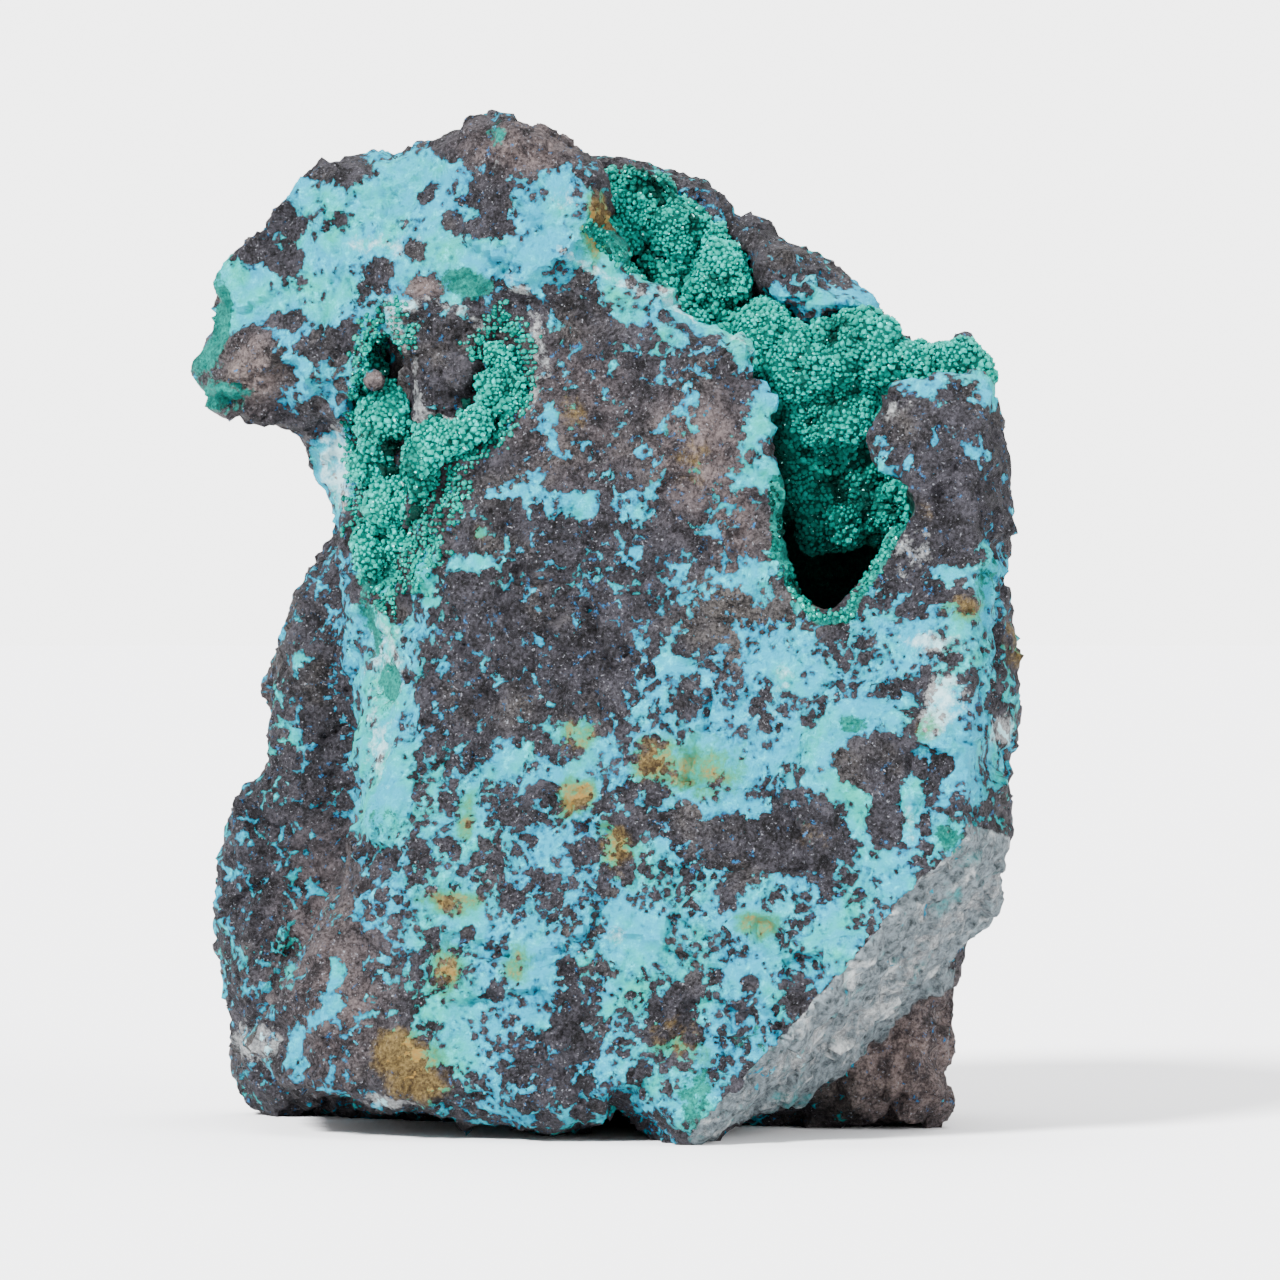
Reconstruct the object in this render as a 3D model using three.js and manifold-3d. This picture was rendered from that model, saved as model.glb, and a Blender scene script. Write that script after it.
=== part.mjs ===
// A hand specimen of brochantite: a broken piece of dark, copper-stained rock, 50 mm tall, with green
// crystals lining an open vug behind its front slab, and filling a groove and a pocket on its left flank.
// Millimetres, +Z up. The front faces -Y, and the rock rests on feet that are cut level at z = 0.
import * as THREE from "three";
import { ImprovedNoise } from "three/addons/math/ImprovedNoise.js";
import { mergeVertices } from "three/addons/utils/BufferGeometryUtils.js";
import Module from "manifold-3d";

const wasm = await Module();
wasm.setup();

// Outlines and depths are given as [x, z] and y, as seen from a point this far in front of y = 0.
const VIEW_DISTANCE = 340;
const VIEW_X = 1.7;
const VIEW_Z = 24.5;

// How far apart the points along an outline, and over a broken face, may be.
const OUTLINE_STEP = 3;
const FACE_STEP = 2.9;

// The gap that keeps a crust of crystals clear of the rock that it grew on.
const CRUST_GAP = 0.6;

// The weathered, broken surface: the size of the bumps, and how far points move. The long waves bend
// the rock and its crusts alike, and the short ones roughen the rock.
const LONG_WAVES = { bump: 8.5, sideways: 0.3, deep: 0.55 };
const SHORT_WAVES = { bump: 3.1, sideways: 0.24, deep: 0.42 };

// How high above the lowest point the feet are cut level.
const FOOT_CUT = 0.5;

// Every point stands on a grid this fine, so that points that nearly meet are one point.
const GRID = 0.003;

// How far a broken face's points stray from even rows, as a share of FACE_STEP, and the noise that moves
// them along x and along z: the length of its waves along x and z, and the layer that it is read in.
const FACE_SCATTER = 0.7;
const FACE_NOISE = {
  x: { waveX: 1.9, waveZ: 1.7, layer: 3.5 },
  z: { waveX: 1.8, waveZ: 2.1, layer: 8.5 },
};

// Lumps of crystals aren't quite round, and they vary in place and size, as shares of their spacing and
// radius. The noise for that has so many waves per millimetre along x and z, and a layer for each use.
const LUMP_UNEVENNESS = { share: 0.2, bump: 0.9 };
const LUMP_SCATTER = 0.3;
const LUMP_VARIETY = 0.35;
const LUMP_NOISE = {
  x: { alongX: 3.1, alongZ: 2.7, layer: 0.5 },
  z: { alongX: 2.9, alongZ: 3.3, layer: 7.5 },
  size: { alongX: 1.7, alongZ: 1.9, layer: 3.5 },
};

// How far apart the noise is read that moves the rock's surface along x, y and z.
const WAVE_LAYERS = { x: 11.3, y: 5.7, z: 8.9 };

// The height of rows of evenly packed points, as a share of their spacing.
const ROW_HEIGHT = Math.sqrt(0.75);

// The share of GRID within which points of one mesh are merged.
const MERGE_SHARE = 1 / 5;

const noise = new ImprovedNoise();

function faceNoise({ waveX, waveZ, layer }, x, z) {
  return noise.noise(x / waveX, layer, z / waveZ);
}

function lumpNoise({ alongX, alongZ, layer }, x, z) {
  return noise.noise(alongX * x, alongZ * z, layer);
}

// A depth that rises evenly across the outline.
function plane(y, alongX, alongZ) {
  return (x, z) => y + alongX * x + alongZ * z;
}

// Swells are rounded bumps, or dents where `out` is negative, on a surface that faces the front.
function withSwells(depth, swells) {
  return (x, z) => {
    let y = depth(x, z);
    for (const { at, reach, out } of swells) {
      const across = (x - at[0]) / reach[0];
      const up = (z - at[1]) / reach[1];
      y -= out * Math.exp(-across * across - up * up);
    }
    return y;
  };
}

// The front slab: its broken face leans back and turns a little to the left. Its left edge falls away
// into a narrow flank. The fall sets in round the height `low`, within `blend` of it.
const FLANK = { edge: -8.9, low: 17.5, blend: 2, steepness: 1.5 };
const slabPlane = withSwells(plane(-7.5, -0.25, 0.22), [
  { at: [-1, 34], reach: [9, 2.2], out: 0.6 },
  { at: [-2, 30.8], reach: [8, 1.3], out: -0.5 },
  { at: [0, 20], reach: [9, 5], out: -0.5 },
  { at: [5, 13], reach: [6, 4], out: 0.6 },
  { at: [15.5, 21.5], reach: [4, 4], out: 1.1 },
  { at: [15.5, 27.5], reach: [3, 2.2], out: -0.7 },
  { at: [8, 15], reach: [2.6, 1.7], out: -0.9 },
  { at: [-4.5, 17.6], reach: [5, 0.8], out: -0.5 },
  { at: [2.5, 6], reach: [5, 3], out: -0.6 },
  { at: [-8.3, 37], reach: [1.6, 1.9], out: 0.5 },
]);
function slabFront(x, z) {
  const inside = THREE.MathUtils.smoothstep(z, FLANK.low - FLANK.blend, FLANK.low + FLANK.blend);
  const past = Math.max(0, FLANK.edge - x);
  return slabPlane(x, z) + inside * FLANK.steepness * past;
}

// The upper left block turns away to the left, with a hollow under its top edge.
const blockFront = withSwells(plane(-7, -0.5, 0.15), [
  { at: [-12.5, 43.5], reach: [5, 2.6], out: 0.8 },
  { at: [-16.8, 39], reach: [1.6, 2.2], out: 0.9 },
  { at: [-9, 40.5], reach: [3.4, 1.8], out: -0.7 },
  { at: [-4.2, 47.5], reach: [2.6, 1.4], out: 0.7 },
]);

const backMassFront = withSwells(plane(6, -0.32, 0), [
  { at: [-15, 21], reach: [3, 6], out: 0.9 },
  { at: [-16, 9], reach: [3, 5], out: 0.8 },
  { at: [9.5, 42], reach: [3, 1.5], out: 0.9 },
  { at: [14.5, 4], reach: [2, 3], out: -0.8 },
]);
const backMassBack = withSwells(plane(20.5, -0.06, -0.06), [
  { at: [-8, 32], reach: [7, 8], out: -1.6 },
  { at: [7, 14], reach: [8, 7], out: -1.8 },
  { at: [12, 38], reach: [6, 6], out: 2.6 },
  { at: [-12, 8], reach: [6, 6], out: 1.2 },
]);

// Profiles run from the middle of the front to the middle of the back. Each pair is how far out towards
// the outline a ring of points lies, and how much of the depth it has reached.
const SLAB_PROFILE = [
  [0, -0.5], [0.84, -0.08], [0.94, -0.01], [0.98, 0.07], [1, 0.22], [1, 0.5], [0.97, 0.8], [0.88, 1.05],
  [0, 1.4],
];
const BOULDER_PROFILE = [
  [0, -0.4], [0.82, -0.08], [0.96, 0.03], [1, 0.2], [1, 0.45], [0.96, 0.75], [0.84, 0.98], [0, 1.5],
];
const BLOCK_PROFILE = [
  [0, -0.5], [0.82, -0.08], [0.93, -0.01], [0.98, 0.07], [1, 0.18], [1, 0.45], [0.96, 0.75], [0.84, 1],
  [0, 1.5],
];

const FRONT_SLAB = {
  outline: [
    [-12.9, 36.1], [-12.3, 39.3], [-9.9, 41.2], [-6.1, 43.2], [-2.9, 44.5], [-0.3, 44.8],
    [1, 42.8], [4.1, 41], [6.8, 39.4], [8.6, 36.7], [13.3, 36.5], [14.6, 37.3], [17.9, 37.7],
    [19.2, 36.1], [19.5, 32.7], [19.5, 28.4], [20, 24.5], [20.6, 22.3], [20.2, 16.7],
    [19.9, 14.3], [19.3, 12.6], [19.2, 10.7], [17.5, 8.4], [14.3, 5.6], [9.5, 1.7], [6.5, 1.3],
    [4.9, 0.1], [3.9, -0.5], [2.4, 1], [0.5, 1.6], [-2.9, 0.6], [-5.1, 1.6], [-10.9, 1.7],
    [-12.4, 2.3], [-15, 2.6], [-17.7, 4.9], [-14.8, 9], [-12.1, 14.3], [-11.6, 17.7],
    [-12.4, 25.5], [-12.9, 30.1], [-13.7, 31.8], [-14.2, 34.2],
  ],
  centre: [2.7, 20.6],
  front: slabFront,
  back: plane(9, -0.32, 0),
  profile: SLAB_PROFILE,
};

const BACK_MASS = {
  outline: [
    [-12.9, 29.3], [-14.8, 27.2], [-15.3, 25.4], [-16.3, 22.1], [-16.6, 18.2], [-18, 16.2],
    [-18.9, 12.9], [-18.7, 10.4], [-17.9, 6.5], [-17.8, 3.1], [-17.4, 2.2], [-16.3, 1.4],
    [-12.2, 1.3], [-9.5, 0.5], [-2.5, 0.5], [4, 0.9], [9.5, 0.9], [13.3, 0.3], [16.2, 1.2], [16.8, 1.8],
    [16.2, 3.2], [16.6, 4.6], [16.4, 6.3], [16.7, 8.5], [18.4, 12.9], [18.7, 18.7], [18.4, 26.4],
    [18.7, 35.2], [18.1, 38.5], [17.5, 39.2], [17, 38.6], [14.6, 38.2], [14.3, 39.3],
    [13.2, 41], [10.5, 42.5], [9.5, 43.2], [7.3, 44.4], [5.8, 44.9], [4.9, 46.8], [2.4, 47.6],
    [-0.2, 47.5], [-2.2, 46.8], [-7.5, 43.4], [-11.9, 35.2], [-12.6, 32.3],
  ],
  centre: [-0.7, 24],
  front: backMassFront,
  back: backMassBack,
  profile: BOULDER_PROFILE,
};

const UPPER_LEFT_BLOCK = {
  outline: [
    [-20.6, 37.6], [-19.6, 39], [-18.9, 40.7], [-19.1, 41.6], [-17.8, 43.6], [-14.8, 46.1],
    [-13.1, 47.6], [-9.9, 48], [-7.3, 49.3], [-5.2, 50], [-4, 49.4], [-2.1, 48.5], [-0.3, 47.4],
    [0, 45.1], [-1.7, 42.8], [-5.1, 41], [-9, 38.6], [-11.9, 35.2], [-13.1, 34], [-14.4, 34.3],
    [-16, 34.9], [-19.2, 36.2],
  ],
  centre: [-9, 42.4],
  front: blockFront,
  back: plane(15, 0.05, -0.02),
  profile: BLOCK_PROFILE,
};

// The vug is an open mouth through the front slab, a wider void behind it that comes out above the
// pillar on its right, and a trough along the slab's top edge.
const MOUTH = {
  outline: [
    [8.6, 36.7], [7.8, 34.7], [8.3, 32.3], [8.4, 28.4], [9.4, 26.9], [10, 25.9], [11.3, 25.9],
    [12, 26.8], [13.1, 28.1], [13.6, 29.6], [15, 30.4], [15, 31.3], [13.3, 32.3], [13, 34.7],
    [13.6, 36.2], [14.6, 37.4], [14.2, 40.5], [8.2, 40.5],
  ],
  centre: [10.8, 33],
  front: plane(-14, 0, 0),
  back: plane(3, 0, 0),
  profile: [[0, 0], [1, 0], [1, 0.4], [1, 0.6], [1, 0.8], [1, 1], [0, 1]],
};
const voidBack = plane(15.2, 0, -0.25);
const VOID = {
  outline: [
    [6.6, 38], [6.3, 33], [6.8, 28.5], [8.5, 25.8], [11, 24.8], [13.3, 26.2], [15.3, 28.8], [16, 31.5],
    [16.2, 35], [19.8, 35.6], [19.4, 37.3], [18.3, 38.9], [17.5, 39.4], [16.2, 38.9], [14.7, 39.1],
    [13.8, 40.6], [12, 41], [10, 40.2],
  ],
  centre: [11.6, 34.2],
  front: plane(-0.9, -0.08, 0),
  back: voidBack,
  profile: [[0, 0], [0.8, 0.04], [1, 0.25], [1, 0.55], [0.85, 0.92], [0.4, 1], [0, 1]],
};
// Below its crystals the vug runs on as a bare hole, deep into the rock.
const HOLE = {
  outline: [
    [7.6, 29.6], [8, 27.4], [9, 26], [10.4, 25.3], [11.8, 25.4], [13, 26.8], [14, 28.4], [13.8, 29.6],
    [12.6, 29.8], [11.6, 29.2], [10.2, 29.4], [9.2, 30.6], [8, 30.9],
  ],
  centre: [10.9, 27.8],
  front: plane(1.5, 0, 0),
  back: plane(12.5, 0, 0),
  profile: [[0, 0], [1, 0], [1, 0.4], [0.9, 0.7], [0.7, 0.93], [0.4, 1], [0, 1]],
};
const troughBack = plane(8.2, -0.32, 0);
const TROUGH = {
  outline: [
    [-0.7, 47.7], [1.2, 47.9], [3, 47.5], [4.3, 45.8], [5.9, 44.9], [7.1, 43], [7.4, 41.2],
    [9.6, 39.9], [10.5, 37.5], [8, 36.8], [4.1, 39], [0.8, 41.4], [-0.8, 43.5],
  ],
  centre: [3.5, 43],
  front: (x, z) => slabPlane(x, z) + 1.6,
  back: troughBack,
  profile: [[0, 0], [1, 0], [1, 0.4], [1, 0.75], [0.85, 1], [0.4, 1], [0, 1]],
};
// The groove down the left flank and the pocket beside it, which join below a knob of bare rock.
const FLANK_GROOVE = {
  outline: [
    [-12.3, 39.4], [-11.3, 39.9], [-9.8, 38.8], [-9.7, 36.1], [-8, 34.2], [-7.3, 31.8], [-8.5, 29.8],
    [-9.2, 28.4], [-10.2, 26.8], [-11.8, 26.9], [-12.5, 29.3], [-12.6, 32.3], [-12.1, 34.7], [-12.4, 37.1],
  ],
  centre: [-10.6, 33],
  front: (x, z) => slabFront(x, z) - 2.5,
  back: (x, z) => slabFront(x, z) + 1.5,
  profile: [[0, 0], [1, 0], [1, 0.8], [0.85, 1], [0.4, 1], [0, 1]],
};
const POCKET = {
  outline: [
    [-9.6, 35.3], [-7, 36.6], [-6, 38.9], [-5, 39.9], [-3.7, 38.8], [-3.6, 36.2], [-5, 34.8],
    [-7, 33.4], [-9.6, 32.2],
  ],
  centre: [-5.8, 36],
  front: (x, z) => slabFront(x, z) - 2.5,
  back: (x, z) => slabFront(x, z) + 1.3,
  profile: [[0, 0], [1, 0], [1, 0.8], [0.85, 1], [0.4, 1], [0, 1]],
};

// Crystals sit side by side as small round lumps, and the vug has large bunches of them:
// x, z, depth and radius of each bunch.
const BUNCHES = [
  [10.9, 31, 5.4, 2.4], [11.2, 35.9, 4.4, 2.6], [9.5, 37.6, 3.4, 1.9], [11.9, 38.8, 2.8, 1.9],
  [13.7, 38.3, 2.8, 1.8], [12.9, 33.2, 4.8, 1.8], [9.5, 34.2, 5.6, 2], [14.4, 31.2, 3.8, 1.3],
  [8, 39.3, 3.9, 1.5], [15.6, 37.5, 2.6, 1.4], [17.5, 38.1, 2.3, 1.4],
];
const VUG_LUMPS = { spacing: 3, radius: 1.8, standing: 0.6, bed: 1 };
const FLANK_LUMPS = { spacing: 2.4, radius: 1.35, standing: 0.5, bed: 0.7 };

const BED_PROFILE = [[0, 0], [0.6, 0], [0.96, 0], [0.9, 1], [0.5, 1], [0, 1]];

// Breaks are flat: everything past a plane through `at`, on the side it faces, has come off.
const SLAB_BREAKS = [
  { at: [13, -8.6, 9.8], facing: [0.685, -0.38, -0.622] },
  { at: [18.1, -5, 30], facing: [0.93, -0.36, 0.05] },
  { at: [-14.5, -1.5, 5], facing: [-0.62, -0.75, -0.1] },
];
const BACK_BREAKS = [
  { at: [-14.5, 16, 36], facing: [-0.62, 0.6, 0.42] },
  { at: [14, 17, 39], facing: [0.5, 0.66, 0.52] },
  { at: [16.5, 17.5, 10], facing: [0.62, 0.72, -0.28] },
  { at: [-16, 18.5, 7], facing: [-0.5, 0.8, -0.22] },
  { at: [2, 18.6, 44], facing: [-0.12, 0.78, 0.62] },
  { at: [3, 20.4, 5], facing: [0.1, 0.84, -0.52] },
];
const BLOCK_BREAKS = [
  { at: [-17, 13.5, 42], facing: [-0.45, 0.72, 0.5] },
  { at: [-17.5, 7.6, 36.6], facing: [-0.3, -0.62, -0.72] },
];

// A closed mass inside an outline, between a front and a back depth. `shrink` draws every face in.
function mass({ outline, centre, front, back, profile }, shrink = 0) {
  const rim = inset(subdivided(outline), shrink);
  const geometry = new THREE.SphereGeometry(1, rim.length, profile.length - 1);
  const place = geometry.getAttribute("position");
  for (let i = 0; i < place.count; i++) {
    const [out, share] = profile[Math.floor(i / (rim.length + 1))];
    const [rimX, rimZ] = rim[(i % (rim.length + 1)) % rim.length];
    const x = THREE.MathUtils.lerp(centre[0], rimX, out);
    const z = THREE.MathUtils.lerp(centre[1], rimZ, out);
    const y = THREE.MathUtils.lerp(front(x, z) + shrink, back(x, z) - shrink, share);
    place.setXYZ(i, ...inSpace(x, y, z));
  }
  return solid(geometry);
}

// The points of an outline moved inwards, each square to the line between its neighbours.
function inset(rim, distance) {
  return rim.map(([x, z], i) => {
    const [lastX, lastZ] = rim.at(i - 1);
    const [nextX, nextZ] = rim[(i + 1) % rim.length];
    const along = new THREE.Vector2(nextX - lastX, nextZ - lastZ).normalize();
    return [x - along.y * distance, z + along.x * distance];
  });
}

// A body of rock: a mass whose front and back faces have points spread evenly over them, less what
// has broken off.
function boulder(shape, breaks) {
  const xs = shape.outline.map(([x]) => x);
  const zs = shape.outline.map(([, z]) => z);
  const [left, right, low, high] = [Math.min(...xs), Math.max(...xs), Math.min(...zs), Math.max(...zs)];
  const columns = Math.ceil((right - left) / FACE_STEP) + 1;
  const rows = Math.ceil((high - low) / FACE_STEP) + 1;
  const faces = new THREE.BoxGeometry(columns * FACE_STEP, 1, rows * FACE_STEP, columns, 1, rows);
  const place = faces.getAttribute("position");
  for (let i = 0; i < place.count; i++) {
    const cellX = place.getX(i) + (left + right) / 2;
    const cellZ = place.getZ(i) + (low + high) / 2;
    const x = cellX + FACE_SCATTER * FACE_STEP * faceNoise(FACE_NOISE.x, cellX, cellZ);
    const z = cellZ + FACE_SCATTER * FACE_STEP * faceNoise(FACE_NOISE.z, cellX, cellZ);
    place.setXYZ(i, ...inSpace(x, place.getY(i) < 0 ? shape.front(x, z) : shape.back(x, z), z));
  }
  const unbroken = mass(shape).intersect(solid(faces));
  return roughened(breaks.reduce((rock, off) => rock.subtract(past(off)), unbroken), SHORT_WAVES);
}

// The outline's corners, turning one way round, with points between them that are no more than
// OUTLINE_STEP apart.
function subdivided(outline) {
  const turning = THREE.ShapeUtils.area(outline.map(([x, z]) => ({ x, y: z })));
  const corners = turning > 0 ? outline : [...outline].reverse();
  return corners.flatMap(([x, z], i) => {
    const [nextX, nextZ] = corners[(i + 1) % corners.length];
    const parts = Math.ceil(Math.hypot(nextX - x, nextZ - z) / OUTLINE_STEP);
    const between = (k) => [x + ((nextX - x) * k) / parts, z + ((nextZ - z) * k) / parts];
    return Array.from({ length: parts }, (_, k) => between(k));
  });
}

// Where a point stands that is seen at x and z and lies at depth y.
function inSpace(x, y, z) {
  const spread = (VIEW_DISTANCE + y) / VIEW_DISTANCE;
  return [VIEW_X + (x - VIEW_X) * spread, y, VIEW_Z + (z - VIEW_Z) * spread];
}

function solid(geometry) {
  const bare = geometry.clone();
  bare.deleteAttribute("normal");
  bare.deleteAttribute("uv");
  const merged = mergeVertices(bare, GRID * MERGE_SHARE);
  const mesh = new wasm.Mesh({
    numProp: 3,
    vertProperties: merged.getAttribute("position").array,
    triVerts: new Uint32Array(merged.index.array),
  });
  return new wasm.Manifold(mesh);
}

function geometryOf(made) {
  const mesh = made.getMesh();
  const geometry = new THREE.BufferGeometry();
  geometry.setAttribute("position", new THREE.BufferAttribute(new Float32Array(mesh.vertProperties), 3));
  geometry.setIndex(new THREE.BufferAttribute(new Uint32Array(mesh.triVerts), 1));
  return geometry;
}

function joined(solids) {
  return solids.reduce((whole, next) => whole.add(next));
}

// What lies past a break, as a block far larger than the rock.
function past({ at, facing }) {
  const side = 4 * VIEW_Z;
  const normal = new THREE.Vector3(...facing).normalize();
  const geometry = new THREE.BoxGeometry(side, side, side);
  geometry.translate(0, 0, side / 2);
  geometry.applyQuaternion(new THREE.Quaternion().setFromUnitVectors(new THREE.Vector3(0, 0, 1), normal));
  geometry.translate(...inSpace(...at));
  return solid(geometry);
}

// A round, slightly uneven lump of crystals.
function lump(x, y, z, radius, detail) {
  const { share, bump } = LUMP_UNEVENNESS;
  const geometry = new THREE.IcosahedronGeometry(radius, detail);
  const place = geometry.getAttribute("position");
  const spot = new THREE.Vector3();
  for (let i = 0; i < place.count; i++) {
    spot.fromBufferAttribute(place, i);
    const swell = 1 + share * noise.noise(x + spot.x / bump, y + spot.y / bump, z + spot.z / bump);
    place.setXYZ(i, ...spot.multiplyScalar(swell).toArray());
  }
  geometry.translate(...inSpace(x, y, z));
  return solid(geometry);
}

function isInside(outline, x, z) {
  let inside = false;
  outline.forEach(([x1, z1], i) => {
    const [x2, z2] = outline[(i + 1) % outline.length];
    if (z1 > z !== z2 > z && x < ((x2 - x1) * (z - z1)) / (z2 - z1) + x1) inside = !inside;
  });
  return inside;
}

// Lumps side by side over the back wall of a hollow, on a bed that covers the wall.
function lining(hollow, { spacing, radius, standing, bed }) {
  const { outline, back } = hollow;
  const bedFront = (x, z) => back(x, z) - bed - CRUST_GAP;
  const lumps = [mass({ ...hollow, front: bedFront, profile: BED_PROFILE }, CRUST_GAP)];
  const xs = outline.map(([x]) => x);
  const zs = outline.map(([, z]) => z);
  const rowHeight = spacing * ROW_HEIGHT;
  for (let row = 0, z = Math.min(...zs); z < Math.max(...zs); row++, z += rowHeight) {
    for (let x = Math.min(...xs) + (row % 2) * (spacing / 2); x < Math.max(...xs); x += spacing) {
      const shiftX = x + LUMP_SCATTER * spacing * lumpNoise(LUMP_NOISE.x, x, z);
      const shiftZ = z + LUMP_SCATTER * spacing * lumpNoise(LUMP_NOISE.z, x, z);
      if (!isInside(outline, shiftX, shiftZ)) continue;
      const size = radius * (1 + LUMP_VARIETY * lumpNoise(LUMP_NOISE.size, x, z));
      lumps.push(lump(shiftX, back(shiftX, shiftZ) - standing * size, shiftZ, size, 0));
    }
  }
  return lumps;
}

// Moves the surface to and fro by noise that fills space, so that neighbours move together.
function roughened(made, { bump, sideways, deep }) {
  const geometry = geometryOf(made);
  const place = geometry.getAttribute("position");
  for (let i = 0; i < place.count; i++) {
    const x = place.getX(i);
    const y = place.getY(i);
    const z = place.getZ(i);
    place.setXYZ(
      i,
      x + sideways * noise.noise(x / bump, y / bump, z / bump + WAVE_LAYERS.x),
      y + deep * noise.noise(x / bump + WAVE_LAYERS.y, y / bump, z / bump),
      z + sideways * noise.noise(x / bump, y / bump + WAVE_LAYERS.z, z / bump),
    );
  }
  return solid(geometry);
}

// The largest body of a solid on the grid, filled where lumps have closed round a hollow.
function tidied(geometry) {
  const place = geometry.getAttribute("position");
  place.array.forEach((value, i) => {
    place.array[i] = Math.round(value / GRID) * GRID;
  });
  const bodies = solid(geometry).decompose();
  return geometryOf(bodies.reduce((best, body) => (body.volume() > best.volume() ? body : best)));
}

const wholeRock = joined([
  boulder(FRONT_SLAB, SLAB_BREAKS),
  boulder(BACK_MASS, BACK_BREAKS),
  boulder(UPPER_LEFT_BLOCK, BLOCK_BREAKS),
]);
const vug = joined([MOUTH, VOID, TROUGH, HOLE].map((hollow) => mass(hollow)));
const grooves = joined([FLANK_GROOVE, POCKET].map((hollow) => mass(hollow)));
const vugCrust = joined([
  ...lining(VOID, VUG_LUMPS),
  ...lining(TROUGH, VUG_LUMPS),
  ...BUNCHES.map(([x, z, y, radius]) => lump(x, y, z, radius, 1)),
])
  .intersect(joined([VOID, TROUGH].map((hollow) => mass(hollow, CRUST_GAP))))
  .subtract(mass(HOLE));
const flankCrust = joined([
  ...lining(FLANK_GROOVE, FLANK_LUMPS),
  ...lining(POCKET, FLANK_LUMPS),
]).intersect(joined([FLANK_GROOVE, POCKET].map((hollow) => mass(hollow, CRUST_GAP))));

const belowFeet = past({ at: [0, 0, FOOT_CUT], facing: [0, 0, -1] });
const PIECES = [
  {
    name: "matrix",
    body: roughened(wholeRock.subtract(vug).subtract(grooves), LONG_WAVES).subtract(belowFeet),
    look: { color: 0x4a3f3e, roughness: 0.85, metalness: 0 },
  },
  {
    name: "vug_crust",
    body: roughened(vugCrust, LONG_WAVES),
    look: { color: 0x0b7a60, roughness: 0.35, metalness: 0 },
  },
  {
    name: "flank_crust",
    body: roughened(flankCrust, LONG_WAVES),
    look: { color: 0x0f8f74, roughness: 0.35, metalness: 0 },
  },
];

// The rock stands on its feet, with the middle of its box over the origin.
const { min: least, max: most } = PIECES[0].body.boundingBox();
const group = new THREE.Group();
for (const { name, body, look } of PIECES) {
  const geometry = geometryOf(body);
  geometry.translate(-(least[0] + most[0]) / 2, -(least[1] + most[1]) / 2, -least[2]);
  const mesh = new THREE.Mesh(tidied(geometry), new THREE.MeshStandardMaterial(look));
  mesh.name = name;
  group.add(mesh);
}
export default group;
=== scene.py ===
# A hand specimen of brochantite: a broken piece of dark rock with turquoise and blue stains, and green
# crystals in an open vug, along a trough and in a groove on its flank.
from itertools import product

import bmesh
import bpy
import numpy as np
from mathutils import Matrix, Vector, noise


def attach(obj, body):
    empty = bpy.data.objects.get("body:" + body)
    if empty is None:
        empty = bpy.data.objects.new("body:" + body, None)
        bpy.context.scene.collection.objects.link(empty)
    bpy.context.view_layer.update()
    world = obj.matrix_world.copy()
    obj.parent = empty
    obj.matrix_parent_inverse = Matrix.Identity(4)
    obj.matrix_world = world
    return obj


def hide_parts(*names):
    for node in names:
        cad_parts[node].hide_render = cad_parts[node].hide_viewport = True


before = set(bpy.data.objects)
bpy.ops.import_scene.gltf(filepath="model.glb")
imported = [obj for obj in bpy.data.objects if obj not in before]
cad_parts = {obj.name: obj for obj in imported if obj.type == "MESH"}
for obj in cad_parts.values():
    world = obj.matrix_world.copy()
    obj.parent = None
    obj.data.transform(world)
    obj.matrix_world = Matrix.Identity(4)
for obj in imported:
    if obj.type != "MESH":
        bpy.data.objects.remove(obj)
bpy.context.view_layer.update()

# Sizes and places are in millimetres here, and become metres when they reach Blender.
MM = 0.001

# Marks are placed as [x, z], as they are seen on y = 0 from a point this far in front of it. The rock
# stands with the middle of its foot at the origin, which is this far from there.
VIEW_DISTANCE = 340
VIEW_X = 1.7
VIEW_Z = 24.5
SHIFT = np.array([0.54, -6.28, -0.5])

# The camera's view takes in this much at VIEW_DISTANCE.
FRAME_WIDTH = 62.1
SENSOR_WIDTH = 36

# How strongly the white surround lights the rock, and how bright it looks to the camera.
SURROUND_LIGHT = 1.2
SURROUND_LOOK = 4.6

# How fine the meshes are, and what stands on their surfaces, as (size, height), from coarse to fine.
ROCK_VOXEL = 0.54
ROCK_WAVES = [(4.1, 0.3), (1.3, 0.22), (0.6, 0.12)]
ROCK_CHIPS = [(4.6, 0.8), (2, 0.55), (0.9, 0.3), (0.5, 0.14)]
CHIP_SEED = 3
SHARP_ANGLE = np.radians(40)
SMOOTHING_STEPS = 3
CRUST_VOXEL = 0.24
CRUST_SWELL = -0.9
CRUST_BALLS = [(2, 0.9), (0.95, 0.7)]

# Faces whose normals point backward by less than this can be seen from the front.
SIDEWAYS = 0.2

# The crystals stand in small round grains: their radii, and how far apart they are, in radii.
GRAIN_RADII = (0.1, 0.22)
GRAIN_SPACING = 1.25
GRAIN_UNEVENNESS = 0.3
GLINT_SHARE = 0.02

# Surfaces whose normals point backward by more than this carry no grains.
BACKWARD = 0.5

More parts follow.
